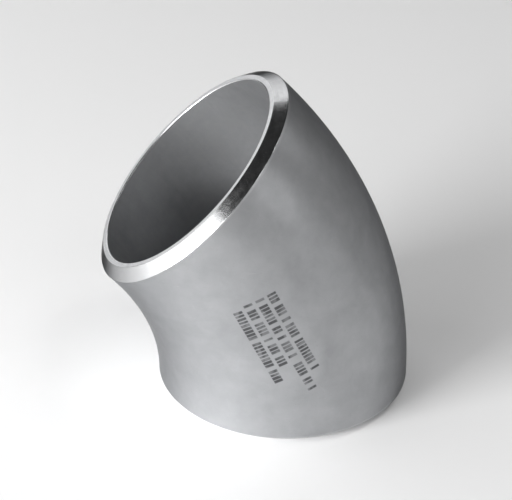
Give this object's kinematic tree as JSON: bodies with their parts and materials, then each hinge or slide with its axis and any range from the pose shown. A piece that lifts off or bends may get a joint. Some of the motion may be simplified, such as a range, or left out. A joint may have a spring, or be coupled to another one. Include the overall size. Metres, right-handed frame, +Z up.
{
  "type": "butt weld elbow",
  "caption": "Seamless stainless steel long-radius pipe elbow with bevelled ends, butt welded into a pipe run to turn it through 45 degrees.",
  "frame": {"origin": "middle of the elbow's bounding box in plan, at the height of the lower end face it stands on", "axes": "+Z up, out of the lower end and into the pipe; the bend lies in the XZ plane and the upper end leans towards -X; Y runs across the bend"},
  "size_m": [0.1086, 0.0888, 0.1136],
  "materials": {
    "stainless_steel": "satin, blasted and pickled, with bright machined weld ends"
  },
  "bodies": {
    "root": {"elbow": "stainless_steel"}
  },
  "joints": []
}
